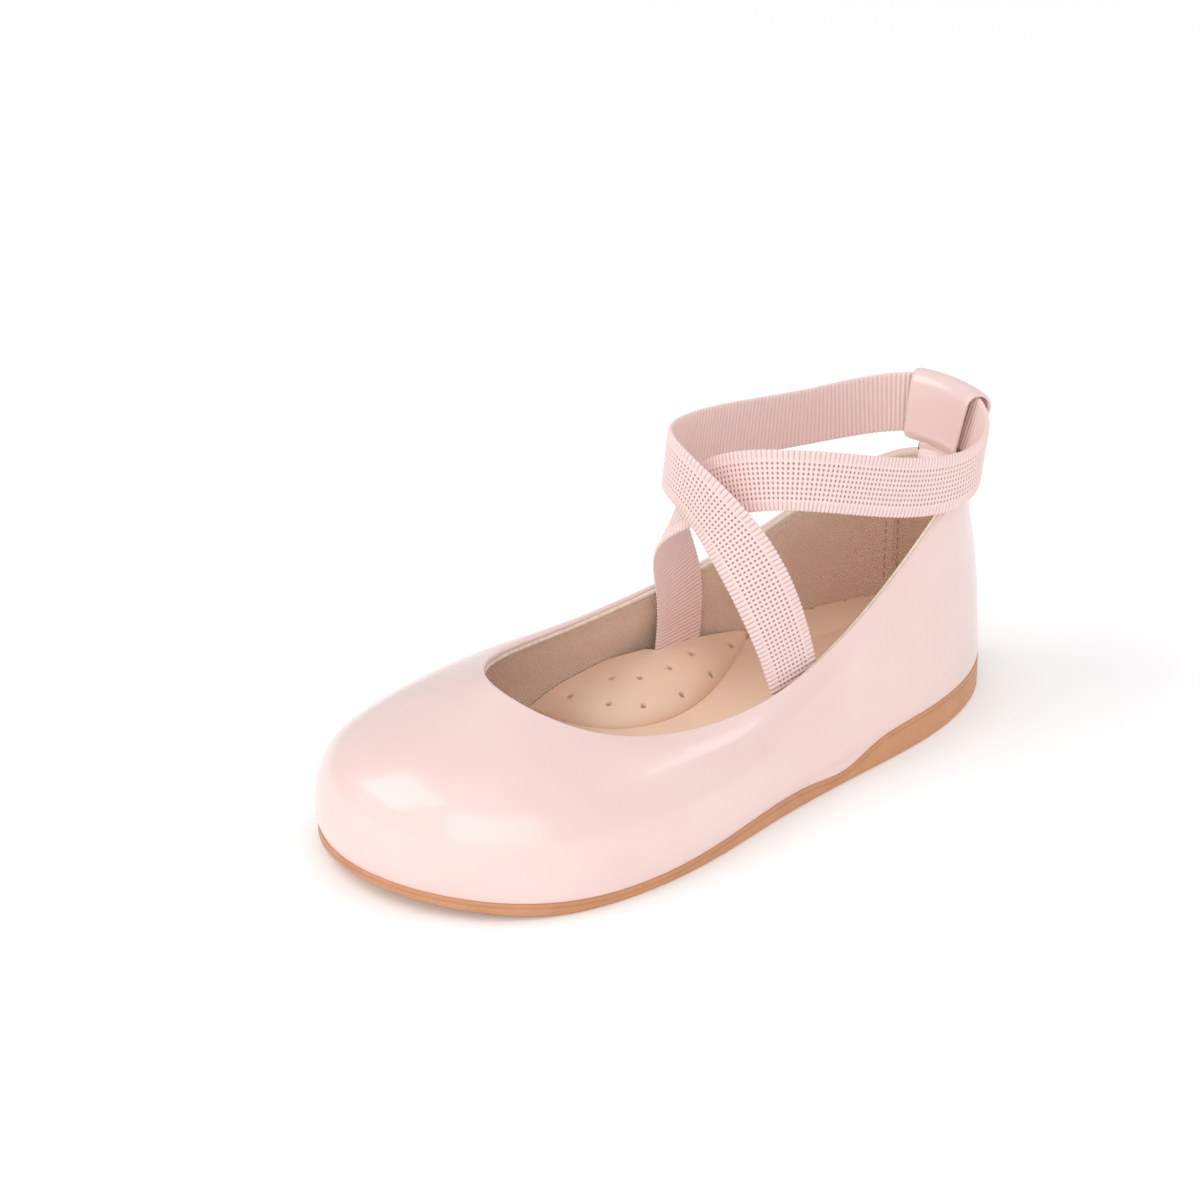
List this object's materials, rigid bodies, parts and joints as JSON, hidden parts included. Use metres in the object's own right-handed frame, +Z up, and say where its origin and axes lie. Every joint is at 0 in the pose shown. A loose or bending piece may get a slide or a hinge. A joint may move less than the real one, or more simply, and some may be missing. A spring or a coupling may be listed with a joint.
{
  "type": "child's patent ballet flat with crossed elastic ankle strap",
  "caption": "Child's glossy pink ballet flat, left foot, with a rounded toe, thin flat sole, crossed elastic ankle strap and a heel loop.",
  "frame": {"origin": "centre of the whole shoe's plan box, on the ground under the outsole", "axes": "+Z up, -Y towards the toe, +X towards the outer (lateral) side of the left foot"},
  "size_m": [0.0799, 0.186, 0.0817],
  "materials": {
    "patent": "gloss",
    "stiffener": "matte",
    "cream_binding": "matte",
    "lining_cloth": "woven",
    "thread": "satin",
    "sole_rubber": "satin",
    "filler_cork": "matte",
    "fibre_board": "matte",
    "foam": "matte",
    "sock_leather": "matte",
    "shank_steel": "brushed",
    "elastic": "ribbed"
  },
  "bodies": {
    "shoe": {"upper": "patent", "heel_counter": "stiffener", "toe_puff": "stiffener", "topline_binding": "cream_binding", "back_seam_tape": "cream_binding", "vamp_lining": "lining_cloth", "heel_lining": "lining_cloth", "topline_stitching": "thread", "lining_seam_stitching": "thread", "outsole": "sole_rubber", "bottom_filler": "filler_cork", "insole_board": "fibre_board", "sock_foam": "foam", "sock_cover": "sock_leather", "shank": "shank_steel", "arch_pad": "sock_leather", "heel_cup_pad": "sock_leather", "elastic_leg_lateral": "elastic", "elastic_leg_medial": "elastic", "lateral_tack_stitches": "thread", "medial_tack_stitches": "thread", "heel_loop_tongue": "patent", "heel_loop_stitching": "thread"},
    "ankle_band": {"elastic_band": "elastic", "heel_loop": "patent"}
  },
  "joints": [
    {"name": "band_lift", "type": "hinge", "parent": "shoe", "child": "ankle_band", "pos_m": [-0.0004, 0.0851, 0.0573], "axis": [-1, 0, 0], "range_deg": [0, 15], "stiffness_Nm_per_rad": 0.05}
  ]
}
